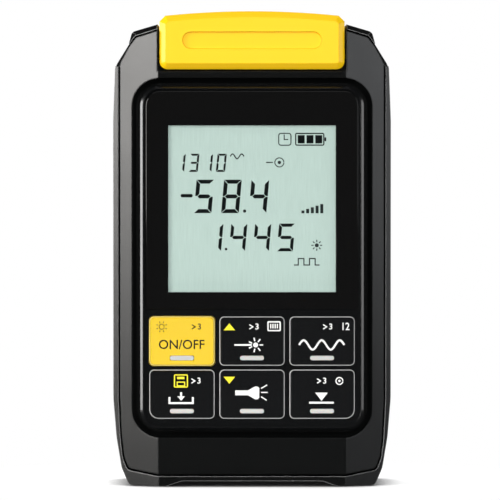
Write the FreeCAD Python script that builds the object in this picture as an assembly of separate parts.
import FreeCAD, Part
import math
import os

# Pocket optical power meter with a fault-finding laser and a torch.
# Millimetres. +Z is up, the keys face -Y, and the meter stands on its two feet.
# The origin lies on the table, under the centre of the body.

V = FreeCAD.Vector

# Sizes follow one another: the keys set the panel, the panel sets the case, the case sets the
# cover and the ports.  A value that is worked out says so in its expression.

# ---------------------------------------------------------------- keys
KEY_WIDTH = 16.2
KEY_HEIGHT = 12.2
KEY_SPACE_X = 1.2          # bezel web between keys side by side
KEY_SPACE_Z = 1.0          # bezel web between the two rows
KEY_RADIUS = 1.2
KEY_END_RADIUS = 2.3       # outer lower corners of the lower row
KEY_BEVEL = 0.4
KEY_RISE = 0.5             # how far the keys stand out of the bezel
KEY_GAP = 0.2              # clearance in the bezel
KEY_SKIRT = 0.4            # flange that keeps the key behind the bezel
KEY_SKIRT_WALL = 0.8
KEY_SKIRT_GAP = 0.1
KEY_TRAVEL = 0.5
BAR_LENGTH = 6.05          # light bar in each key
BAR_HEIGHT = 1.2
BAR_DROP = 4.2             # from the key's centre down to its light bar
BAR_DEPTH = 1.0
BAR_PROUD = 0.05
BAR_GAP = 0.03
KEY_NAMES = (("power", "vfl", "wavelength"), ("save", "light", "ref"))
KEY_PITCH_X = KEY_WIDTH + KEY_SPACE_X
KEY_PITCH_Z = KEY_HEIGHT + KEY_SPACE_Z

# ---------------------------------------------------------------- panel, from side to side
KEY_MARGIN = 2.25          # from the outer keys to the bezel's edge
GROOVE_SIDE = 2.15         # groove beside the bezel
RECESS_SLOPE = 1.2         # width of the groove's sloping wall
RECESS_RADIUS = 7.2
BEZEL_RADIUS = 5.0
BEZEL_WALL = 1.7
RIDGE = 0.7                # width of the bezel's ridge
RIDGE_BEVEL = 0.6          # bevel on the ridge's outer edge
LENS_BORDER = 1.35         # from the lens to the bezel's edge
LENS_RADIUS = 3.7
LENS_FOOT_RADIUS = 0.6
LENS_WALL = 1.5
LENS_RISE = 0.35           # how far the lens stands out of the bezel
LENS_GAP = 0.15            # clearance in its pocket
LENS_BEVEL = 0.25
MASK_SIDE = 5.6            # printed border of the lens, beside the clear window
BEZEL_HALF = KEY_PITCH_X + KEY_WIDTH / 2 + KEY_MARGIN
RECESS_HALF = BEZEL_HALF + GROOVE_SIDE
LENS_HALF = BEZEL_HALF - LENS_BORDER
VIEW_HALF = LENS_HALF - MASK_SIDE

# ---------------------------------------------------------------- panel, from the bottom up
RECESS_BOTTOM = 12.1
GROOVE_END = 1.95          # groove below and above the bezel
KEY_FOOT = 2.8             # bezel below the lower keys
LENS_SPACE = 1.85          # bezel between the upper keys and the lens
LENS_HEIGHT = 54.2
MASK_BOTTOM = 4.2          # printed border below the clear window
MASK_TOP = 8.6             # and above it
BEZEL_HEAD = 1.2           # bezel above the lens
BEZEL_BOTTOM = RECESS_BOTTOM + GROOVE_END
LOWER_KEY_Z = BEZEL_BOTTOM + KEY_FOOT + KEY_HEIGHT / 2
UPPER_KEY_Z = LOWER_KEY_Z + KEY_PITCH_Z
LENS_BOTTOM = UPPER_KEY_Z + KEY_HEIGHT / 2 + LENS_SPACE
LENS_TOP = LENS_BOTTOM + LENS_HEIGHT
VIEW_BOTTOM = LENS_BOTTOM + MASK_BOTTOM
VIEW_TOP = LENS_TOP - MASK_TOP
BEZEL_TOP = LENS_TOP + BEZEL_HEAD
RECESS_TOP = BEZEL_TOP + GROOVE_END

# ---------------------------------------------------------------- case, from side to side
SIDE_BORDER = 4.7          # case beside the panel's recess
RIM = 1.3                  # rear shell's rim outside the shadow gap
SHADOW_GAP = 0.5           # gap between the rim and the front shell
LEDGE = 0.8                # ledge that the front shell's edge seats on
FRONT_WALL = 1.8           # wall of the front shell
REAR_WALL = 2.0            # back wall of the rear shell
FOOT_LENGTH = 13.2         # each foot, from the side of the case
FOOT_RAMP = 4.0            # ramp from the foot up to the underside
FOOT_OUTER = 4.0           # how far the foot's sole stops short of the side
UNDERSIDE_Z = 1.3          # height of the underside between the feet
CHIN_Z = 3.0               # lower edge of the front shell
HALF_WIDTH = RECESS_HALF + SIDE_BORDER
INSET = RIM + SHADOW_GAP
SHELL_INSET = INSET + LEDGE
FOOT_INNER = HALF_WIDTH - FOOT_LENGTH

# ---------------------------------------------------------------- case, from front to back
FRONT_Y = -15.5            # flat middle band of the front
BACK_Y = 16.5              # flat back
PARTING_Y = -7.0           # plane where the two shells meet
FACET_SLOPE = 0.46         # fall of the side facets, in depth per width
RIM_DROP = 0.5             # how far the rim stays behind the facets
RIM_SLOPE = 3.0            # depth of the slope on the rim's top, over each shoulder
SHOULDER_INSET = 4.7       # outer end of the shoulder's top, in from the side
SHOULDER_FALL = 1.8        # how far the shoulder's top falls on its way out
DIAGONAL_INSET = 3.9       # upper end of the diagonal side, in from the side
DIAGONAL_TOP = 4.7         # and below the shoulder's top
DIAGONAL_SLOPE = 0.8       # width of the slope that takes the rim's place on the diagonal
SIDE_TOP_INSET = 0.5       # lower end of the diagonal, in from the side
SIDE_TOP = 10.2            # and below the shoulder's top
BACK_ROUND = 4.0           # rounding of the back edges
DECK_ROUND = 1.5           # bevel of the deck's back edge
TONGUE = 1.4               # depth of the three locating tongues on the front shell
TONGUE_WALL = 0.9
TONGUE_GAP = 0.3           # their clearance inside the rear shell
TONGUE_INSET = 24.0        # side tongues stop this far from the shoulder and the foot
BEZEL_RISE = 0.3           # crest of the bezel's ridge, out from the flat band
RIDGE_HEIGHT = 0.7
PLATE_WALL = 1.6           # wall round the keys
BEZEL_DEPTH = 3.8          # from the bezel's plate back to the tray
TRAY_WALL = 1.5
BOARD_STANDOFF = 4.9       # from the tray's face to the main board
BEZEL_FRONT = FRONT_Y - BEZEL_RISE
PLATE_Y = BEZEL_FRONT + RIDGE_HEIGHT
KEY_FRONT = PLATE_Y - KEY_RISE
TRAY_Y = PLATE_Y + BEZEL_DEPTH
BOARD_Y = TRAY_Y + BOARD_STANDOFF

# ---------------------------------------------------------------- flip cover
DECK_BAND = 1.65           # shell between the recess and the deck
COVER_HALF = 22.95
COVER_HEIGHT = 14.4        # lower edge to crown
COVER_PROUD = 1.0          # cover's front, out from the flat band
COVER_BACK_SET = 2.5       # cover's back, in from the case's back
CROWN_DROP = 1.1           # how much lower the ends of the crown are
CORNER_CUT = 1.45          # bevel of the upper corners
COVER_BEVEL = 1.5          # bevel round the front face
COVER_WALL = 1.6
COVER_FRONT_WALL = 2.4
COVER_CORNER = 2.0         # radius of the lower corners
COVER_BACK_ROUND = 2.5     # bevel of the upper back edge
COVER_SIDE_GAP = 0.55      # gap between the cover and each shoulder
COVER_BASE_GAP = 0.5       # gap between the cover and the deck
COVER_OVER_SHOULDER = 3.2  # crown above the shoulders
LIP_HEIGHT = 3.0           # dust lip across the deck, behind the cover's front
LIP_WALL = 1.2
LIP_GAP = 0.3              # gap between the lip and the cover in front of it and above it
LIP_SWING_GAP = 0.8        # gap behind the lip, which the cover needs as it starts to open
GRIP_LENGTH = 34.5         # finger groove in the cover
GRIP_HEIGHT = 4.2
GRIP_RISE = 7.2            # its centre above the cover's lower edge
GRIP_DEPTH = 0.9
HINGE_RISE = 4.2           # hinge axis above the cover's lower edge
HINGE_SET = 2.6            # from the axis back to the cover's back face
TRUNNION_R = 1.5           # pegs that the cover turns on
TRUNNION_LENGTH = 1.4
TRUNNION_GAP = 0.15
CREASE_GAP = 0.35          # facet crease, out from the cover's side
DECK_Z = RECESS_TOP + DECK_BAND
COVER_BOTTOM = DECK_Z + COVER_BASE_GAP
COVER_TOP = COVER_BOTTOM + COVER_HEIGHT
COVER_FRONT = FRONT_Y - COVER_PROUD
COVER_BACK = BACK_Y - COVER_BACK_SET
SHOULDER_Z = COVER_TOP - COVER_OVER_SHOULDER
BAND_HALF = COVER_HALF + CREASE_GAP
NOTCH_HALF = COVER_HALF + COVER_SIDE_GAP
HINGE_Y = COVER_BACK - HINGE_SET
HINGE_Z = COVER_BOTTOM + HINGE_RISE

# ---------------------------------------------------------------- display stack
GLASS_MARGIN = 2.2         # LCD glass beyond the clear window
GLASS_WALL = 2.2
GLASS_GAP = 0.5            # clearance of the glass in the bezel
GLASS_DEPTH = 0.6          # air between the lens and the glass
STRIP_HEIGHT = 2.0         # elastomer strip under the glass's lower edge
STRIP_HALF = 20.0
STRIP_GAP = 0.6

# ---------------------------------------------------------------- boards
BOARD_WALL = 1.6
BOARD_MARGIN = 2.75        # main board, in from the bezel's sides
BOARD_BOSS_R = 2.3
BOARD_BOSS_INSET = 2.4     # boss centres, in from the board's edges
BOARD_SCREW_R = 1.0
BOARD_SCREW_HEAD_R = 1.9
BOARD_SCREW_HEAD = 1.3
BOARD_SCREW_LENGTH = 4.4
SWITCH_SIZE = 6.0          # tactile switch, square body
SWITCH_HEIGHT = 2.5
PLUNGER_HALF = 1.3         # square plunger
PLUNGER_GAP = 0.2          # in the switch's well
PLUNGER_HOLE_GAP = 0.6     # in the tray of the front shell
PLUNGER_DIP = 0.5          # how deep the plunger stands in the switch at rest
PORT_BOARD_DROP = 13.1     # port board's face, below the deck
PORT_BOARD_HALF = 19.0
PORT_BOARD_BACK = 6.5      # its back edge, behind the ports' axes
CHIP_DROP = 18.0           # microcontroller's centre, below the port board
MICRO_SIZE = 12.0
MICRO_HEIGHT = 1.4
CHIP_WIDTH = 6.0
CHIP_DEPTH = 4.0
CHIP_HEIGHT = 1.5
CHIP_REACH = 15.0          # small chips, to each side of the microcontroller
CHIP_PITCH = 10.0
CAPACITOR_WIDTH = 4.3
CAPACITOR_DEPTH = 7.3
CAPACITOR_HEIGHT = 2.9
CAPACITOR_PITCH = 6.0
CAPACITOR_RISE = 11.5      # row of capacitors, above the microcontroller's centre
BOARD_HALF = BEZEL_HALF - BOARD_MARGIN
BOARD_BOTTOM = BEZEL_BOTTOM + 0.4
BOARD_TOP = LENS_TOP - 0.1
BOARD_BACK = BOARD_Y + BOARD_WALL

# ---------------------------------------------------------------- ports
PORT_X = 12.0              # power-meter port at -x, laser port at +x
PORT_SET = 17.0            # ports' axes, behind the flat band
PORT_HEIGHT = 8.4          # barrel above the deck
PORT_R = 4.2
PORT_FLANGE_R = 5.4
PORT_FLANGE = 1.2
PORT_STOP = 0.6            # ledge that a ferrule stops on
PORT_HOLE_GAP = 0.1
PORT_STEM = 5.9            # adapter below the deck
NUT_WIDTH = 11.0           # across flats
NUT_HEIGHT = 2.0
FERRULE_BORE_R = 1.255     # bore for a 2.5 mm ferrule
SLEEVE_R = 1.8
SLEEVE_LENGTH = 11.9
SLEEVE_SET = 1.0           # sleeve's mouth, below the barrel's
SLEEVE_GAP = 0.03
APERTURE_R = 0.9           # light passes here, and the ferrule stops on its edge
LASER_R = 3.0
LASER_LENGTH = 20.0
LASER_GAP = 0.3
LASER_EYE_R = 1.0
DIODE_BASE_R = 2.7
DIODE_BASE = 0.9
DIODE_CAP_R = 2.1
DIODE_CAP = 0.8            # can's top, inside the adapter
DIODE_RECESS_GAP = 0.4
LEAD = 0.45                # square leads of the diode and the lamp
LEAD_SPREAD = 1.3
LED_R = 2.5
LED_BODY = 7.0
LED_FLANGE = 0.4
TORCH_LENS_R = 2.85
TORCH_HOLE_GAP = 0.15
TORCH_FLANGE = 0.8
TORCH_RIM = 1.0
TORCH_RISE = 0.9
SEAT_GAP = 0.1             # between parts that face each other inside
PORT_Y = FRONT_Y + PORT_SET
PORT_TOP = DECK_Z + PORT_HEIGHT
PORT_END_Z = DECK_Z - PORT_STEM
PORT_BOARD_Z = DECK_Z - PORT_BOARD_DROP
SLEEVE_TOP = PORT_TOP - SLEEVE_SET
SLEEVE_BOTTOM = SLEEVE_TOP - SLEEVE_LENGTH
CHIP_Z = PORT_BOARD_Z - CHIP_DROP

# ---------------------------------------------------------------- battery bay
CELL_R = 5.25              # AAA cell
CELL_LENGTH = 44.5
CELL_NUB_R = 1.9
CELL_NUB = 1.0
CELL_SPACE = 0.7           # between cells
CELL_SIDE_GAP = 0.9        # between the outer cells and the bay's walls
CELL_DOOR_GAP = 0.35
CELL_FLOOR_GAP = 0.45
SPRING_LENGTH = 4.0
SPRING_BASE_R = 3.6
SPRING_TIP_R = 2.2
SPRING_WIRE = 0.5
SPRING_TURNS = 3
SPRING_STEPS = 8           # straight runs in a turn
CONTACT_WALL = 0.4
CONTACT_INSET = 0.6        # contact plates, in from the cells' sides
CONTACT_GAP = 0.05
BAY_BOTTOM = 8.6
BAY_WALL = 1.4
DOOR_MARGIN = 2.25         # door beyond the bay's walls, at each side
DOOR_WALL = 1.8
DOOR_GAP = 0.25
DOOR_BOTTOM = 1.9
DOOR_OVERLAP = 2.4         # door beyond the upper end of the bay
DOOR_LAND = 2.0            # wall behind the door's edges
RAIL = 1.0                 # width of the tongues along the door's sides
RAIL_WALL = 0.8
RAIL_SET = 0.3             # tongues behind the door's inner face
RAIL_GAP = 0.15
GRIP_RIBS = 5              # finger ribs near the door's upper end
GRIP_RIB_PITCH = 2.0
GRIP_RIB_LENGTH = 14.0
GRIP_RIB_HEIGHT = 0.6
GRIP_RIB_WIDTH = 0.8
CELL_PITCH = 2 * CELL_R + CELL_SPACE
CELL_Y = BACK_Y - DOOR_WALL - CELL_DOOR_GAP - CELL_R
BAY_HALF = CELL_PITCH + CELL_R + CELL_SIDE_GAP
BAY_TOP = BAY_BOTTOM + 2 * CONTACT_WALL + CELL_LENGTH + SPRING_LENGTH
DOOR_HALF = BAY_HALF + DOOR_MARGIN
DOOR_TOP = BAY_TOP + DOOR_OVERLAP
DOOR_INNER = BACK_Y - DOOR_WALL

# ---------------------------------------------------------------- case screws
UPPER_SCREW_INSET = 4.8    # from the notch's side
UPPER_SCREW_DROP = 1.1     # below the deck
LOWER_SCREW_INSET = 7.1    # from the case's side
LOWER_SCREW_Z = 8.6
SCREW_R = 1.25
SCREW_HEAD_R = 2.3
SCREW_HEAD_GAP = 0.3
SCREW_HEAD = 1.7
RECESS_WIDTH = 0.6         # arms of the cross in the head
RECESS_LENGTH = 3.0
RECESS_DEPTH = 1.0
SCREW_DEPTH = 12.5         # heads' seat, in from the case's back
SCREW_SEAT_WALL = 2.0
SCREW_LENGTH = 10.3        # under the head
SCREW_TUBE_WALL = 1.2
POST_R = 2.1
FIT = 0.06                 # clearance of a screw in its hole
SCREW_TIP_GAP = 0.4        # air beyond a screw's tip
SCREW_SEAT_Y = BACK_Y - SCREW_DEPTH

FAR = 60.0                 # reaches past the body in every cut
SIDES = (-1, 1)


# ---------------------------------------------------------------- shape helpers
def closed_wire(points, to_vector):
    """Closed outline through (a, b, corner radius) points, with tangent arcs at the corners."""
    count = len(points)
    runs = []
    for i, (a, b, radius) in enumerate(points):
        here = V(a, b, 0)
        back = (V(*points[i - 1][:2], 0) - here).normalize()
        ahead = (V(*points[(i + 1) % count][:2], 0) - here).normalize()
        if radius == 0:
            runs.append((here, None, here))
            continue
        half = back.getAngle(ahead) / 2
        reach = radius / math.tan(half)
        middle = (back + ahead).normalize()
        middle = here + middle * (radius / math.sin(half) - radius)
        runs.append((here + back * reach, middle, here + ahead * reach))
    edges = []
    for i, (start, middle, end) in enumerate(runs):
        following = runs[(i + 1) % count][0]
        if middle is not None:
            arc = Part.Arc(to_vector(start), to_vector(middle), to_vector(end))
            edges.append(arc.toShape())
        if (following - end).Length > 1e-3:
            edges.append(Part.makeLine(to_vector(end), to_vector(following)))
    return Part.Wire(edges)


def face_xz(points, y=0.0):
    return Part.Face(closed_wire(points, lambda p: V(p.x, y, p.y)))


def prism_y(shape, y0, y1):
    """Extrude a front view, given as points or as a face, from y0 to y1."""
    face = shape if isinstance(shape, Part.Shape) else face_xz(shape)
    face = face.copy()
    face.translate(V(0, y0 - face.BoundBox.YMin, 0))
    return face.extrude(V(0, y1 - y0, 0))


def prism_z(points, z0, z1):
    """Extrude a plan view of (x, y, radius) points from z0 to z1."""
    face = Part.Face(closed_wire(points, lambda p: V(p.x, p.y, z0)))
    return face.extrude(V(0, 0, z1 - z0))


def prism_x(points, x0, x1):
    """Extrude a side view of (y, z, radius) points from x0 to x1."""
    face = Part.Face(closed_wire(points, lambda p: V(x0, p.x, p.y)))
    return face.extrude(V(x1 - x0, 0, 0))


def rect(x0, x1, z0, z1, radius=0.0):
    return [(x0, z0, radius), (x1, z0, radius), (x1, z1, radius), (x0, z1, radius)]


def box(x0, x1, y0, y1, z0, z1):
    return Part.makeBox(x1 - x0, y1 - y0, z1 - z0, V(x0, y0, z0))


def rod_y(x, z, radius, y0, y1):
    return Part.makeCylinder(radius, y1 - y0, V(x, y0, z), V(0, 1, 0))


def rod_z(x, y, radius, z0, z1):
    return Part.makeCylinder(radius, z1 - z0, V(x, y, z0), V(0, 0, 1))


def turned(profile, x, y):
    """Solid turned about an upright axis at (x, y), from (radius, z) points."""
    points = [V(r, 0, z) for r, z in profile]
    face = Part.Face(Part.makePolygon(points + points[:1]))
    solid = face.revolve(V(0, 0, 0), V(0, 0, 1), 360)
    solid.translate(V(x, y, 0))
    return solid


def both_sides(half):
    """Whole outline from its right half, listed from the bottom up."""
    return half + [(-a, b, radius) for a, b, radius in reversed(half)]


def moved_in(face, distance):
    """The same outline, `distance` further in (or out, where it is negative)."""
    return face.makeOffset2D(-distance, 0 if distance > 0 else 2)


def fused(pieces):
    first, *rest = pieces
    return first.fuse(rest).removeSplitter() if rest else first


def save(name, shape):
    solids = shape.Solids
    whole = solids[0] if len(solids) == 1 else Part.makeCompound(solids)
    if not whole.isValid():
        print("not valid:", name)
    whole.exportStep(os.path.join("parts", name + ".step"))
    print(f"{name:18s} solids {len(solids)}  volume {whole.Volume / 1000:.3f} cm3")


# ---------------------------------------------------------------- body outlines
def rear_outline():
    """Front view of the rear shell: feet, sides, bevelled shoulders and a flat top."""
    side = HALF_WIDTH
    return both_sides([
        (FOOT_INNER - FOOT_RAMP, UNDERSIDE_Z, 4.0),
        (FOOT_INNER, 0.0, 1.5),
        (side - FOOT_OUTER, 0.0, 1.6),
        (side - 2.1, 4.3, 6.0),
        (side - 0.8, 12.0, 20.0),
        (side, 21.6, 30.0),
        (side, SHOULDER_Z - 23.8, 40.0),
        (side - SIDE_TOP_INSET, SHOULDER_Z - SIDE_TOP, 4.0),
        (side - DIAGONAL_INSET, SHOULDER_Z - DIAGONAL_TOP, 1.5),
        (side - SHOULDER_INSET, SHOULDER_Z - SHOULDER_FALL, 1.5),
        (NOTCH_HALF, SHOULDER_Z, 0.0),
    ])


def front_outline():
    """Front view of the front shell, inside the rear shell's rim."""
    side = HALF_WIDTH - INSET
    return both_sides([
        (BAND_HALF, CHIN_Z, 0.0),
        (side - 2.1, CHIN_Z + 1.3, 1.2),
        (side - 1.0, CHIN_Z + 4.0, 5.0),
        (side - 0.45, 12.0, 20.0),
        (side, 21.6, 30.0),
        (side, SHOULDER_Z - 9.7, 3.0),
        (side - 2.3, SHOULDER_Z - 5.5, 1.5),
        (side - 4.0, SHOULDER_Z - 3.3, 0.8),
        (NOTCH_HALF, SHOULDER_Z - 1.7, 0.0),
    ])


def facet_y(x, depth=0.0):
    """Depth of the faceted front at x; `depth` moves the surface inward, square to itself."""
    flat = FRONT_Y + depth
    slant = FRONT_Y + (abs(x) - BAND_HALF) * FACET_SLOPE + depth * math.hypot(1, FACET_SLOPE)
    return max(flat, slant)


def facet_block(depth=0.0):
    """Everything behind the faceted front surface."""
    slack = depth * (math.hypot(1, FACET_SLOPE) - 1) / FACET_SLOPE
    crease = BAND_HALF - slack
    edge = HALF_WIDTH + 5.0
    half = [(crease, facet_y(crease, depth), 0.0), (edge, facet_y(edge, depth), 0.0)]
    back = [(edge, FAR, 0.0), (-edge, FAR, 0.0)]
    mirrored = [(-x, y, radius) for x, y, radius in half]
    return prism_z(half + back + mirrored[::-1], -FAR, 2 * FAR)


def edge_slope(start, end, inset, depth):
    """Cutter along the outline from start to end, on both sides of the case.

    Its slope runs from `inset` inside the outline, at the points' own y, to the outline `depth` behind.
    """
    run = end - start
    inward = V(run.z, 0, -run.x).normalize()
    inner = start + inward * inset
    back = start + V(0, depth, 0)
    clear = back - inward * FAR
    section = [V(inner.x, -FAR, inner.z), inner, back, clear, V(clear.x, -FAR, clear.z)]
    right = Part.Face(Part.makePolygon(section + section[:1])).extrude(run)
    return right.fuse(right.mirror(V(0, 0, 0), V(1, 0, 0)))


def rim_slopes():
    """Slopes that thin the rim over each shoulder, round its corner and down its diagonal side."""
    top = V(NOTCH_HALF, facet_y(NOTCH_HALF, RIM_DROP), SHOULDER_Z)
    corner_x = HALF_WIDTH - SHOULDER_INSET
    corner = V(corner_x, facet_y(corner_x, RIM_DROP), SHOULDER_Z - SHOULDER_FALL)
    foot_x = HALF_WIDTH - DIAGONAL_INSET
    foot = V(foot_x, facet_y(foot_x, RIM_DROP), SHOULDER_Z - DIAGONAL_TOP)
    diagonal = [V(foot_x, PARTING_Y, foot.z),
                V(HALF_WIDTH - SIDE_TOP_INSET, PARTING_Y, SHOULDER_Z - SIDE_TOP)]
    return fused([edge_slope(top, corner, RIM, RIM_SLOPE), edge_slope(corner, foot, RIM, RIM_SLOPE),
                  edge_slope(*diagonal, DIAGONAL_SLOPE, RIM_SLOPE)])


def dust_lip():
    """Low wall across the deck that closes the gap under the cover's front."""
    y0 = COVER_FRONT + COVER_FRONT_WALL + LIP_GAP
    half = NOTCH_HALF + FRONT_WALL / 2
    return box(-half, half, y0, y0 + LIP_WALL, DECK_Z - FRONT_WALL / 2, DECK_Z + LIP_HEIGHT)


def notch():
    """Space between the shoulders, over the deck, for the flip cover."""
    return box(-NOTCH_HALF, NOTCH_HALF, -FAR, FAR, DECK_Z, 2 * FAR)


def with_notch(outline):
    """Front view as a face, with the cover's notch cut out of it."""
    gap = face_xz(rect(-NOTCH_HALF, NOTCH_HALF, DECK_Z, 2 * FAR))
    return face_xz(outline).cut(gap).Faces[0]


def key_centres():
    """Name, column, row and centre of each key."""
    for row, z in enumerate((UPPER_KEY_Z, LOWER_KEY_Z)):
        for column in range(3):
            yield KEY_NAMES[row][column], column, row, (column - 1) * KEY_PITCH_X, z


def glass_rect(margin=0.0):
    """Front view of the LCD glass, its lower edge over the elastomer strip."""
    half = VIEW_HALF + GLASS_MARGIN + margin
    return rect(-half, half, VIEW_BOTTOM - GLASS_MARGIN - margin, VIEW_TOP + GLASS_MARGIN + margin)


def screw_places():
    for side in SIDES:
        yield side * (NOTCH_HALF + UPPER_SCREW_INSET), DECK_Z - UPPER_SCREW_DROP
        yield side * (HALF_WIDTH - LOWER_SCREW_INSET), LOWER_SCREW_Z


def board_boss_places():
    for side in SIDES:
        x = side * (BOARD_HALF - BOARD_BOSS_INSET)
        yield x, BOARD_BOTTOM + BOARD_BOSS_INSET
        yield x, BOARD_TOP - BOARD_BOSS_INSET


# ---------------------------------------------------------------- front shell
def recess_cut():
    """Groove round the panel: an upright wall, then a slope down to the tray."""
    brink = facet_y(RECESS_HALF)
    rim = rect(-RECESS_HALF, RECESS_HALF, RECESS_BOTTOM, RECESS_TOP, RECESS_RADIUS)
    foot = rect(-RECESS_HALF + RECESS_SLOPE, RECESS_HALF - RECESS_SLOPE,
                RECESS_BOTTOM + RECESS_SLOPE, RECESS_TOP - RECESS_SLOPE,
                RECESS_RADIUS - RECESS_SLOPE)
    upper = prism_y(rim, -FAR, brink)
    wires = [face_xz(rim, brink).OuterWire, face_xz(foot, TRAY_Y).OuterWire]
    return upper.fuse(Part.makeLoft(wires, True, True))


def locating_tongues():
    """Flat tongues along the straight sides and the chin, which slip inside the rear shell."""
    out = HALF_WIDTH - SHELL_INSET - TONGUE_GAP
    low = UNDERSIDE_Z + SHELL_INSET + TONGUE_GAP
    y0, y1 = PARTING_Y - 1, PARTING_Y + TONGUE
    reach = FOOT_INNER - FOOT_RAMP
    chin = box(-reach, reach, y0, y1, low, low + TONGUE_WALL)
    ends = TONGUE_INSET, SHOULDER_Z - TONGUE_INSET
    left = box(-out, -out + TONGUE_WALL, y0, y1, *ends)
    right = box(out - TONGUE_WALL, out, y0, y1, *ends)
    return [chin, left, right]


def front_shell():
    outline = with_notch(front_outline())
    outer = prism_y(outline, -FAR, PARTING_Y).common(facet_block())
    cavity = prism_y(moved_in(outline, FRONT_WALL), -FAR, PARTING_Y + 1)
    shell = outer.cut(cavity.common(facet_block(FRONT_WALL)))

    tray_back = TRAY_Y + TRAY_WALL
    tray = prism_y(rect(-RECESS_HALF, RECESS_HALF, RECESS_BOTTOM - 1, RECESS_TOP), -FAR, tray_back)
    pieces = [shell, tray.common(outer)]

    pieces += [dust_lip()] + locating_tongues()
    for x, z in screw_places():
        post = rod_y(x, z, POST_R, -FAR, SCREW_SEAT_Y - SCREW_SEAT_WALL - SEAT_GAP)
        pieces.append(post.common(facet_block(RIM_DROP)))
    for x, z in board_boss_places():
        pieces.append(rod_y(x, z, BOARD_BOSS_R, tray_back - 1, BOARD_Y))

    body = fused(pieces).cut(recess_cut())
    body = body.cut(prism_y(glass_rect(GLASS_GAP), TRAY_Y - 1, tray_back + 1))
    for _name, _column, _row, x, z in key_centres():
        body = body.cut(prism_y(plunger_rect(x, z, PLUNGER_HOLE_GAP), TRAY_Y - 1, tray_back + 1))
    for x, z in screw_places():
        tip = SCREW_SEAT_Y - SCREW_LENGTH - SCREW_TIP_GAP
        body = body.cut(rod_y(x, z, SCREW_R + FIT, tip, FAR))
    for x, z in board_boss_places():
        tip = BOARD_BACK - BOARD_SCREW_LENGTH - SCREW_TIP_GAP
        body = body.cut(rod_y(x, z, BOARD_SCREW_R + FIT, tip, FAR))
    return body


# ---------------------------------------------------------------- rear shell
def bay_rect(margin=0.0):
    """Front view of the battery bay."""
    half = BAY_HALF + margin
    return rect(-half, half, BAY_BOTTOM - margin, BAY_TOP + margin)


def door_recess():
    """Opening for the door in the back, with its side slots and its open lower end."""
    inner = DOOR_INNER - SEAT_GAP
    slot_y0 = inner + RAIL_SET - RAIL_GAP
    slot_y1 = inner + RAIL_SET + RAIL_WALL + RAIL_GAP + SEAT_GAP
    top = DOOR_TOP + DOOR_GAP
    wide = DOOR_HALF + DOOR_GAP
    opening = box(-wide, wide, inner, FAR, -FAR, top)
    slot = box(-wide - RAIL, wide + RAIL, slot_y0, slot_y1, -FAR, top)
    return opening.fuse(slot)


def rear_shell():
    side = HALF_WIDTH
    plan = [(-side, -FAR, 0), (side, -FAR, 0), (side, BACK_Y, BACK_ROUND), (-side, BACK_Y, BACK_ROUND)]
    profile = [(-FAR, -1, 0), (BACK_Y, -1, 0), (BACK_Y, SHOULDER_Z, BACK_ROUND), (-FAR, SHOULDER_Z, 0)]
    outer = prism_y(rear_outline(), -FAR, BACK_Y).common(facet_block(RIM_DROP))
    outer = outer.common(prism_z(plan, -1, 2 * FAR)).common(prism_x(profile, -FAR, FAR))
    deck_round = prism_x([(BACK_Y - DECK_ROUND, DECK_Z, 0), (FAR, DECK_Z - FAR, 0), (FAR, DECK_Z, 0)],
                         -NOTCH_HALF, NOTCH_HALF)
    outer = outer.cut(notch()).cut(deck_round).cut(rim_slopes())
    front_space = prism_y(moved_in(face_xz(front_outline()), -SHADOW_GAP), -FAR, PARTING_Y)
    inner = moved_in(with_notch(rear_outline()), SHELL_INSET)
    cavity = prism_y(inner, PARTING_Y - 1, BACK_Y - REAR_WALL)
    shell = outer.cut(front_space).cut(cavity)

    bay_floor = CELL_Y - CELL_R - CELL_FLOOR_GAP
    land_y = DOOR_INNER - SEAT_GAP - DOOR_LAND
    land_half = DOOR_HALF + DOOR_GAP + RAIL + DOOR_LAND
    pieces = [
        shell,
        prism_y(bay_rect(BAY_WALL), bay_floor - BAY_WALL, BACK_Y - REAR_WALL),
        box(-land_half, land_half, land_y, BACK_Y - 0.2, UNDERSIDE_Z, DOOR_TOP + DOOR_LAND),
    ]
    tube_r = SCREW_HEAD_R + SCREW_HEAD_GAP + SCREW_TUBE_WALL
    for x, z in screw_places():
        tube = rod_y(x, z, tube_r, SCREW_SEAT_Y - SCREW_SEAT_WALL, FAR)
        pieces.append(tube.common(outer))
    body = fused(pieces)
    body = body.cut(prism_y(bay_rect(), bay_floor, FAR)).cut(door_recess())
    for x, z in screw_places():
        body = body.cut(rod_y(x, z, SCREW_HEAD_R + SCREW_HEAD_GAP, SCREW_SEAT_Y, FAR))
        body = body.cut(rod_y(x, z, SCREW_R + 0.2, -FAR, FAR))
    for side in SIDES:
        body = body.cut(rod_z(side * PORT_X, PORT_Y, PORT_R + PORT_HOLE_GAP, DECK_Z - 6, FAR * 2))
    body = body.cut(rod_z(0, PORT_Y, TORCH_LENS_R + TORCH_HOLE_GAP, DECK_Z - 6, FAR * 2))
    pivot = Part.makeCylinder(TRUNNION_R + TRUNNION_GAP, 2 * (COVER_HALF + TRUNNION_LENGTH + SEAT_GAP),
                              V(-COVER_HALF - TRUNNION_LENGTH - SEAT_GAP, HINGE_Y, HINGE_Z), V(1, 0, 0))
    return body.cut(pivot)


# ---------------------------------------------------------------- flip cover
def cover_outline(wall=0.0, bottom=COVER_BOTTOM, corner=COVER_CORNER):
    """Front view of the cover: gently crowned top, cut upper corners, round lower corners."""
    half = COVER_HALF - wall
    shoulder = COVER_TOP - CROWN_DROP - wall
    crown_half = half - CORNER_CUT
    sweep = (crown_half ** 2 + CROWN_DROP ** 2) / (2 * CROWN_DROP)
    apex = shoulder + crown_half ** 2 / (sweep - CROWN_DROP)
    right = [(half, bottom, corner), (half, shoulder - CORNER_CUT, 0), (crown_half, shoulder, 0)]
    left = [(-a, b, radius) for a, b, radius in reversed(right)]
    return right + [(0, apex, sweep)] + left


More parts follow.
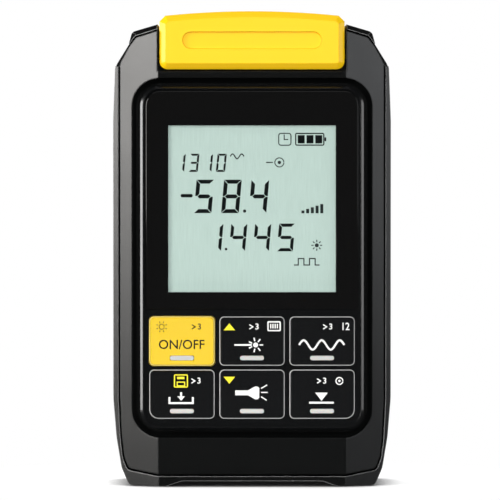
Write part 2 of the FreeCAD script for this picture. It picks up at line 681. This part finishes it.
def cover_side():
    """Side view of the cover: its lower back corner is round about the hinge axis."""
    swing = HINGE_Z - COVER_BOTTOM
    back_z = HINGE_Z - math.sqrt(swing ** 2 - HINGE_SET ** 2)
    turn = (math.pi / 2 + math.acos(HINGE_SET / swing)) / 2
    middle = V(0, HINGE_Y + swing * math.cos(turn), HINGE_Z - swing * math.sin(turn))
    low = V(0, HINGE_Y, COVER_BOTTOM)
    back = V(0, COVER_BACK, back_z)
    corners = [back, V(0, COVER_BACK, COVER_TOP - COVER_BACK_ROUND),
               V(0, COVER_BACK - COVER_BACK_ROUND, COVER_TOP), V(0, COVER_FRONT, COVER_TOP),
               V(0, COVER_FRONT, COVER_BOTTOM), low]
    edges = [Part.makeLine(a, b) for a, b in zip(corners, corners[1:])]
    edges.append(Part.Arc(low, middle, back).toShape())
    face = Part.Face(Part.Wire(edges))
    face.translate(V(-FAR, 0, 0))
    return face.extrude(V(2 * FAR, 0, 0))


def port_cover():
    outer = prism_y(cover_outline(), COVER_FRONT, COVER_BACK)
    front_edges = [e for e in outer.Edges if e.BoundBox.YMax < COVER_FRONT + 1e-3]
    outer = outer.makeChamfer(COVER_BEVEL, front_edges).common(cover_side())
    inner_corner = COVER_CORNER - COVER_WALL if COVER_CORNER > COVER_WALL else 0
    hollow = cover_outline(COVER_WALL, COVER_BOTTOM - FAR, inner_corner)
    cover = outer.cut(prism_y(hollow, COVER_FRONT + COVER_FRONT_WALL, COVER_BACK - COVER_WALL))
    half = GRIP_LENGTH / 2
    grip_z = COVER_BOTTOM + GRIP_RISE
    tall = GRIP_HEIGHT / 2
    grip = rect(-half, half, grip_z - tall, grip_z + tall, tall - 0.01)
    cover = cover.cut(prism_y(grip, COVER_FRONT - 1, COVER_FRONT + GRIP_DEPTH))
    lip = dust_lip().BoundBox
    slot_y = lip.YMin - LIP_GAP, lip.YMax + LIP_SWING_GAP
    cover = cover.cut(box(-FAR, FAR, *slot_y, -FAR, lip.ZMax + LIP_GAP))
    pegs = []
    for side in SIDES:
        start = V(side * (COVER_HALF - COVER_WALL / 2), HINGE_Y, HINGE_Z)
        length = COVER_WALL / 2 + TRUNNION_LENGTH
        pegs.append(Part.makeCylinder(TRUNNION_R, length, start, V(side, 0, 0)))
    return fused([cover] + pegs)


# ---------------------------------------------------------------- panel
def panel_bezel():
    """Frame that stands in the groove: ridge, lens pocket, key openings."""
    outer = rect(-BEZEL_HALF, BEZEL_HALF, BEZEL_BOTTOM, BEZEL_TOP, BEZEL_RADIUS)
    crest_half = BEZEL_HALF - RIDGE
    inner = rect(-crest_half, crest_half, BEZEL_BOTTOM + RIDGE, BEZEL_TOP - RIDGE, BEZEL_RADIUS - RIDGE)
    body = prism_y(outer, BEZEL_FRONT, TRAY_Y)
    crest = [e for e in body.Edges if e.BoundBox.YMax < BEZEL_FRONT + 1e-3]
    body = body.makeChamfer(RIDGE_BEVEL, crest)
    body = body.cut(prism_y(inner, -FAR, PLATE_Y))
    pocket_back = PLATE_Y - LENS_RISE + LENS_WALL
    body = body.cut(prism_y(lens_rect(LENS_GAP), -FAR, pocket_back))
    body = body.cut(prism_y(glass_rect(GLASS_GAP), -FAR, FAR))
    inside = BEZEL_HALF - BEZEL_WALL
    well_top = VIEW_BOTTOM - GLASS_MARGIN - GLASS_GAP - BEZEL_WALL
    well = rect(-inside, inside, BEZEL_BOTTOM + BEZEL_WALL - SEAT_GAP, well_top)
    body = body.cut(prism_y(well, PLATE_Y + PLATE_WALL, FAR))
    for _name, column, row, x, z in key_centres():
        body = body.cut(prism_y(key_outline(column, row, x, z, KEY_GAP), -FAR, FAR))
    return body


def lens_rect(margin=0.0):
    """Front view of the lens: round upper corners, nearly sharp lower ones."""
    half = LENS_HALF + margin
    low = LENS_BOTTOM - margin
    high = LENS_TOP + margin
    return [(-half, low, LENS_FOOT_RADIUS), (half, low, LENS_FOOT_RADIUS),
            (half, high, LENS_RADIUS), (-half, high, LENS_RADIUS)]


def display_lens():
    front = PLATE_Y - LENS_RISE
    body = prism_y(lens_rect(), front, front + LENS_WALL)
    edges = [e for e in body.Edges if e.BoundBox.YMax < front + 1e-3]
    return body.makeChamfer(LENS_BEVEL, edges)


def lens_back():
    return PLATE_Y - LENS_RISE + LENS_WALL


def glass_front():
    return lens_back() + GLASS_DEPTH


def lcd_glass():
    return prism_y(glass_rect(), glass_front(), glass_front() + GLASS_WALL)


def lcd_backlight():
    """Light block behind the glass, above the elastomer strip."""
    half = VIEW_HALF + GLASS_MARGIN - STRIP_GAP
    top = VIEW_TOP + GLASS_MARGIN - STRIP_GAP / 2
    return prism_y(rect(-half, half, strip_bottom() + STRIP_HEIGHT + STRIP_GAP, top),
                   glass_front() + GLASS_WALL, BOARD_Y)


def strip_bottom():
    return VIEW_BOTTOM - GLASS_MARGIN + STRIP_GAP / 2


def contact_strip():
    """Elastomer strip between the glass and the board."""
    low = strip_bottom()
    return prism_y(rect(-STRIP_HALF, STRIP_HALF, low, low + STRIP_HEIGHT),
                   glass_front() + GLASS_WALL, BOARD_Y)


# ---------------------------------------------------------------- keys
def key_outline(column, row, x, z, margin=0.0):
    """Front view of a key; the outer lower corners of the lower row are rounder."""
    left, right = x - KEY_WIDTH / 2 - margin, x + KEY_WIDTH / 2 + margin
    low, high = z - KEY_HEIGHT / 2 - margin, z + KEY_HEIGHT / 2 + margin
    low_left = KEY_END_RADIUS if (row, column) == (1, 0) else KEY_RADIUS
    low_right = KEY_END_RADIUS if (row, column) == (1, 2) else KEY_RADIUS
    return [(left, low, low_left), (right, low, low_right),
            (right, high, KEY_RADIUS), (left, high, KEY_RADIUS)]


def bar_rect(x, z, margin=0.0):
    half = BAR_LENGTH / 2 + margin
    middle = z - BAR_DROP
    tall = BAR_HEIGHT / 2 + margin
    return rect(x - half, x + half, middle - tall, middle + tall)


def key_back():
    """Back face of a key's skirt."""
    return PLATE_Y + PLATE_WALL + KEY_SKIRT_GAP + KEY_SKIRT_WALL


def key_cap(column, row, x, z):
    skirt_front = key_back() - KEY_SKIRT_WALL
    body = prism_y(key_outline(column, row, x, z), KEY_FRONT, key_back())
    edges = [e for e in body.Edges if e.BoundBox.YMax < KEY_FRONT + 1e-3]
    body = body.makeChamfer(KEY_BEVEL, edges)
    half, tall = KEY_WIDTH / 2 + KEY_SKIRT, KEY_HEIGHT / 2 + KEY_SKIRT
    skirt = prism_y(rect(x - half, x + half, z - tall, z + tall), skirt_front, key_back())
    return body.fuse(skirt).removeSplitter().cut(prism_y(bar_rect(x, z), -FAR, KEY_FRONT + BAR_DEPTH))


def light_bar(x, z):
    return prism_y(bar_rect(x, z, -BAR_GAP), KEY_FRONT - BAR_PROUD, KEY_FRONT + BAR_DEPTH)


def switch_front():
    return BOARD_Y - SWITCH_HEIGHT


def plunger_rect(x, z, margin=0.0):
    half = PLUNGER_HALF + margin
    return rect(x - half, x + half, z - half, z + half)


def plunger(x, z):
    return prism_y(plunger_rect(x, z), key_back(), switch_front() + PLUNGER_DIP)


def tact_switches():
    """Six square switch bodies, each with a well for its plunger."""
    half = SWITCH_SIZE / 2
    switches = []
    for _name, _column, _row, x, z in key_centres():
        body = prism_y(rect(x - half, x + half, z - half, z + half), switch_front(), BOARD_Y)
        well_end = switch_front() + PLUNGER_DIP + KEY_TRAVEL + SEAT_GAP
        switches.append(body.cut(prism_y(plunger_rect(x, z, PLUNGER_GAP), -FAR, well_end)))
    return Part.makeCompound(switches)


# ---------------------------------------------------------------- boards
def main_board():
    outline = rect(-BOARD_HALF, BOARD_HALF, BOARD_BOTTOM, BOARD_TOP)
    board = prism_y(outline, BOARD_Y, BOARD_BACK)
    for x, z in board_boss_places():
        board = board.cut(rod_y(x, z, BOARD_SCREW_R + SEAT_GAP, -FAR, FAR))
    return board


def port_board():
    """Small board that stands square on the main board and carries the optics' leads."""
    board = box(-PORT_BOARD_HALF, PORT_BOARD_HALF, BOARD_BACK, PORT_Y + PORT_BOARD_BACK,
                PORT_BOARD_Z - BOARD_WALL, PORT_BOARD_Z)
    return board.cut(rod_z(PORT_X, PORT_Y, LASER_R + LASER_GAP, 0, FAR * 2))


def chip(x, z, wide, tall, thick):
    """Moulded chip on the back of the main board, with a bevelled body."""
    outline = rect(x - wide / 2, x + wide / 2, z - tall / 2, z + tall / 2)
    body = prism_y(outline, BOARD_BACK, BOARD_BACK + thick)
    edges = [e for e in body.Edges if e.BoundBox.YMin > BOARD_BACK + thick - 1e-3]
    return body.makeChamfer(thick / 4, edges)


def microcontroller():
    return chip(0, CHIP_Z, MICRO_SIZE, MICRO_SIZE, MICRO_HEIGHT)


def small_chips():
    """Two amplifiers and two drivers, in pairs at both sides of the microcontroller."""
    spots = [(side * CHIP_REACH, CHIP_Z + half * CHIP_PITCH) for side in SIDES for half in (-0.5, 0.5)]
    return Part.makeCompound([chip(x, z, CHIP_WIDTH, CHIP_DEPTH, CHIP_HEIGHT) for x, z in spots])


def capacitors():
    """Three moulded capacitors above the microcontroller, clear of the laser."""
    z = CHIP_Z + CAPACITOR_RISE
    middle = -CAPACITOR_PITCH / 2
    return Part.makeCompound([
        chip(middle + i * CAPACITOR_PITCH, z, CAPACITOR_WIDTH, CAPACITOR_DEPTH, CAPACITOR_HEIGHT)
        for i in (-1, 0, 1)])


def headed_screw(x, z, radius, head_r, head, seat, length):
    """Cylinder-head screw whose head faces +Y."""
    return rod_y(x, z, head_r, seat, seat + head).fuse(rod_y(x, z, radius, seat - length, seat))


def cross_recess(x, z):
    """Cross recess in a case screw's head."""
    half = RECESS_WIDTH / 2
    reach = RECESS_LENGTH / 2
    deep = SCREW_SEAT_Y + SCREW_HEAD - RECESS_DEPTH
    upright = box(x - half, x + half, deep, FAR, z - reach, z + reach)
    return upright.fuse(box(x - reach, x + reach, deep, FAR, z - half, z + half))


def case_screws():
    screws = []
    for x, z in screw_places():
        screw = headed_screw(x, z, SCREW_R, SCREW_HEAD_R, SCREW_HEAD, SCREW_SEAT_Y, SCREW_LENGTH)
        screws.append(screw.cut(cross_recess(x, z)))
    return Part.makeCompound(screws)


def board_screws():
    return Part.makeCompound([
        headed_screw(x, z, BOARD_SCREW_R, BOARD_SCREW_HEAD_R, BOARD_SCREW_HEAD,
                     BOARD_BACK, BOARD_SCREW_LENGTH)
        for x, z in board_boss_places()])


# ---------------------------------------------------------------- ports
def port_adapter(x):
    """Turned adapter: barrel over the deck, flange on it, stem through it."""
    bore = SLEEVE_R + SLEEVE_GAP
    recess = DIODE_CAP_R + DIODE_RECESS_GAP
    stop = SLEEVE_BOTTOM - PORT_STOP
    profile = [
        (recess, PORT_END_Z), (PORT_R, PORT_END_Z), (PORT_R, DECK_Z), (PORT_FLANGE_R, DECK_Z),
        (PORT_FLANGE_R, DECK_Z + PORT_FLANGE), (PORT_R, DECK_Z + PORT_FLANGE),
        (PORT_R, PORT_TOP), (bore, PORT_TOP), (bore, SLEEVE_BOTTOM),
        (APERTURE_R, SLEEVE_BOTTOM), (APERTURE_R, stop), (recess, stop),
    ]
    return turned(profile, x, PORT_Y)


def port_sleeve(x):
    """Ceramic sleeve that a ferrule slides into."""
    outer = rod_z(x, PORT_Y, SLEEVE_R, SLEEVE_BOTTOM, SLEEVE_TOP)
    return outer.cut(rod_z(x, PORT_Y, FERRULE_BORE_R, SLEEVE_BOTTOM - 1, SLEEVE_TOP + 1))


def port_nut(x):
    """Six-sided nut that pulls the adapter down on the deck."""
    top = DECK_Z - SHELL_INSET
    corner = NUT_WIDTH / math.sqrt(3)
    turns = [math.pi / 3 * i for i in range(6)]
    points = [(x + corner * math.cos(a), PORT_Y + corner * math.sin(a), 0) for a in turns]
    nut = prism_z(points, top - NUT_HEIGHT, top)
    return nut.cut(rod_z(x, PORT_Y, PORT_R + FIT, 0, FAR * 2))


def leads(places, top):
    """Square leads from the port board up to `top`."""
    half = LEAD / 2
    return [box(x - half, x + half, y - half, y + half, PORT_BOARD_Z, top) for x, y in places]


def photodiode():
    """Metal-can photodiode under the power-meter port, on three leads."""
    x = -PORT_X
    base_top = PORT_END_Z - SEAT_GAP
    base = base_top - DIODE_BASE
    profile = [(0, base), (DIODE_BASE_R, base), (DIODE_BASE_R, base_top), (DIODE_CAP_R, base_top),
               (DIODE_CAP_R, PORT_END_Z + DIODE_CAP), (0, PORT_END_Z + DIODE_CAP)]
    turns = [math.radians(a) for a in (0, 120, 240)]
    places = [(x + LEAD_SPREAD * math.cos(a), PORT_Y + LEAD_SPREAD * math.sin(a)) for a in turns]
    return fused([turned(profile, x, PORT_Y)] + leads(places, base))


def laser_module():
    """Brass barrel of the fault-finding laser, hung under its port."""
    top = PORT_END_Z - SEAT_GAP
    barrel = rod_z(PORT_X, PORT_Y, LASER_R, top - LASER_LENGTH, top)
    return barrel.cut(rod_z(PORT_X, PORT_Y, LASER_EYE_R, top - LASER_EYE_R, top + 1))


def torch_led():
    """Flat-topped white lamp under the torch lens, on two leads."""
    top = DECK_Z - SHELL_INSET - TORCH_FLANGE - SEAT_GAP
    base = top - LED_BODY
    flange = rod_z(0, PORT_Y, LED_R + LED_FLANGE, base, base + DIODE_BASE)
    body = rod_z(0, PORT_Y, LED_R, base, top)
    return fused([flange, body] + leads([(side * LEAD_SPREAD, PORT_Y) for side in SIDES], base))


def torch_lens():
    """Clear plug that stands out of the deck, with a flange under the deck."""
    under = DECK_Z - SHELL_INSET
    flange = rod_z(0, PORT_Y, TORCH_LENS_R + TORCH_RIM, under - TORCH_FLANGE, under)
    return fused([flange, rod_z(0, PORT_Y, TORCH_LENS_R, under, DECK_Z + TORCH_RISE)])


# ---------------------------------------------------------------- battery bay
CELLS = ((-1, "up"), (0, "down"), (1, "up"))   # column and the end that the positive nub faces


def cell(column, nub_end):
    """AAA cell with its positive nub against one contact plate."""
    body = CELL_LENGTH - CELL_NUB
    profile = [(0, 0), (CELL_R, 0), (CELL_R, body), (CELL_NUB_R, body),
               (CELL_NUB_R, CELL_LENGTH), (0, CELL_LENGTH)]
    lift = BAY_TOP - CONTACT_WALL - CONTACT_GAP - CELL_LENGTH
    if nub_end == "down":
        profile = [(r, CELL_LENGTH - z) for r, z in profile]
        lift = BAY_BOTTOM + CONTACT_WALL + CONTACT_GAP
    return turned([(r, z + lift) for r, z in profile], column * CELL_PITCH, CELL_Y)


def spring_ring(step, start, rise, x):
    """Square section of the wire after that many steps, from the base at `start`."""
    along = step / (SPRING_TURNS * SPRING_STEPS)
    turn = 2 * math.pi * step / SPRING_STEPS
    radius = SPRING_BASE_R + (SPRING_TIP_R - SPRING_BASE_R) * along
    near, far = radius - SPRING_WIRE, radius
    low = start + rise * along
    high = low + math.copysign(SPRING_WIRE, rise)
    points = [V(x + r * math.cos(turn), CELL_Y + r * math.sin(turn), z)
              for r, z in ((near, low), (far, low), (far, high), (near, high))]
    return Part.makePolygon(points + points[:1])


def battery_springs():
    """Conical contact springs, each wound from a square wire and pressing on a cell's flat end."""
    springs = []
    for column, nub_end in CELLS:
        start = BAY_BOTTOM + CONTACT_WALL + CONTACT_GAP
        rise = SPRING_LENGTH - 2 * CONTACT_GAP - SPRING_WIRE
        if nub_end == "down":
            start = BAY_TOP - CONTACT_WALL - CONTACT_GAP
            rise = -rise
        steps = SPRING_TURNS * SPRING_STEPS
        rings = [spring_ring(step, start, rise, column * CELL_PITCH) for step in range(steps + 1)]
        springs.append(Part.makeLoft(rings, True, True))
    return Part.makeCompound(springs)


def battery_contacts():
    """Contact plates at both ends of the bay; wide ones join two cells."""
    reach = CELL_R - CONTACT_INSET
    y0, y1 = CELL_Y - reach, CELL_Y + reach
    low, high = BAY_BOTTOM, BAY_TOP - CONTACT_WALL
    spans = ((-1, -1, low), (0, 1, low), (-1, 0, high), (1, 1, high))
    return Part.makeCompound([
        box(first * CELL_PITCH - reach, last * CELL_PITCH + reach, y0, y1, z, z + CONTACT_WALL)
        for first, last, z in spans])


def battery_door():
    """Sliding door with a tongue along each side and finger ribs near its upper end."""
    inner = DOOR_INNER
    top = DOOR_TOP
    door = box(-DOOR_HALF, DOOR_HALF, inner, BACK_Y, DOOR_BOTTOM, top)
    wide = DOOR_HALF + RAIL
    tongue = box(-wide, wide, inner + RAIL_SET, inner + RAIL_SET + RAIL_WALL, DOOR_BOTTOM, top - 1.0)
    door = door.fuse(tongue).removeSplitter()
    half = GRIP_RIB_LENGTH / 2
    low = top - 4.0 - GRIP_RIBS * GRIP_RIB_PITCH
    dish = rect(-half - 1, half + 1, low - 1, top - 3.0, 2.0)
    door = door.cut(prism_y(dish, BACK_Y - GRIP_RIB_HEIGHT, FAR))
    ribs = []
    for i in range(GRIP_RIBS):
        z = low + GRIP_RIB_PITCH * (i + 0.5)
        ribs.append(box(-half, half, BACK_Y - GRIP_RIB_HEIGHT - 0.2, BACK_Y - 0.1,
                        z - GRIP_RIB_WIDTH / 2, z + GRIP_RIB_WIDTH / 2))
    return fused([door] + ribs)


# ---------------------------------------------------------------- writing the parts
def main():
    os.makedirs("parts", exist_ok=True)
    save("front_shell", front_shell())
    save("rear_shell", rear_shell())
    save("port_cover", port_cover())
    save("panel_bezel", panel_bezel())
    save("display_lens", display_lens())
    save("lcd_glass", lcd_glass())
    save("lcd_backlight", lcd_backlight())
    save("contact_strip", contact_strip())
    for name, column, row, x, z in key_centres():
        save("key_" + name, key_cap(column, row, x, z))
        save("bar_" + name, light_bar(x, z))
        save("plunger_" + name, plunger(x, z))
    save("tact_switches", tact_switches())
    save("main_board", main_board())
    save("port_board", port_board())
    save("microcontroller", microcontroller())
    save("small_chips", small_chips())
    save("capacitors", capacitors())
    for name, x in (("meter", -PORT_X), ("laser", PORT_X)):
        save(name + "_port", port_adapter(x))
        save(name + "_sleeve", port_sleeve(x))
        save(name + "_nut", port_nut(x))
    save("photodiode", photodiode())
    save("laser_module", laser_module())
    save("torch_led", torch_led())
    save("torch_lens", torch_lens())
    for number, (column, nub_end) in enumerate(CELLS, 1):
        save(f"cell_{number}", cell(column, nub_end))
    save("battery_springs", battery_springs())
    save("battery_contacts", battery_contacts())
    save("battery_door", battery_door())
    save("case_screws", case_screws())
    save("board_screws", board_screws())


main()
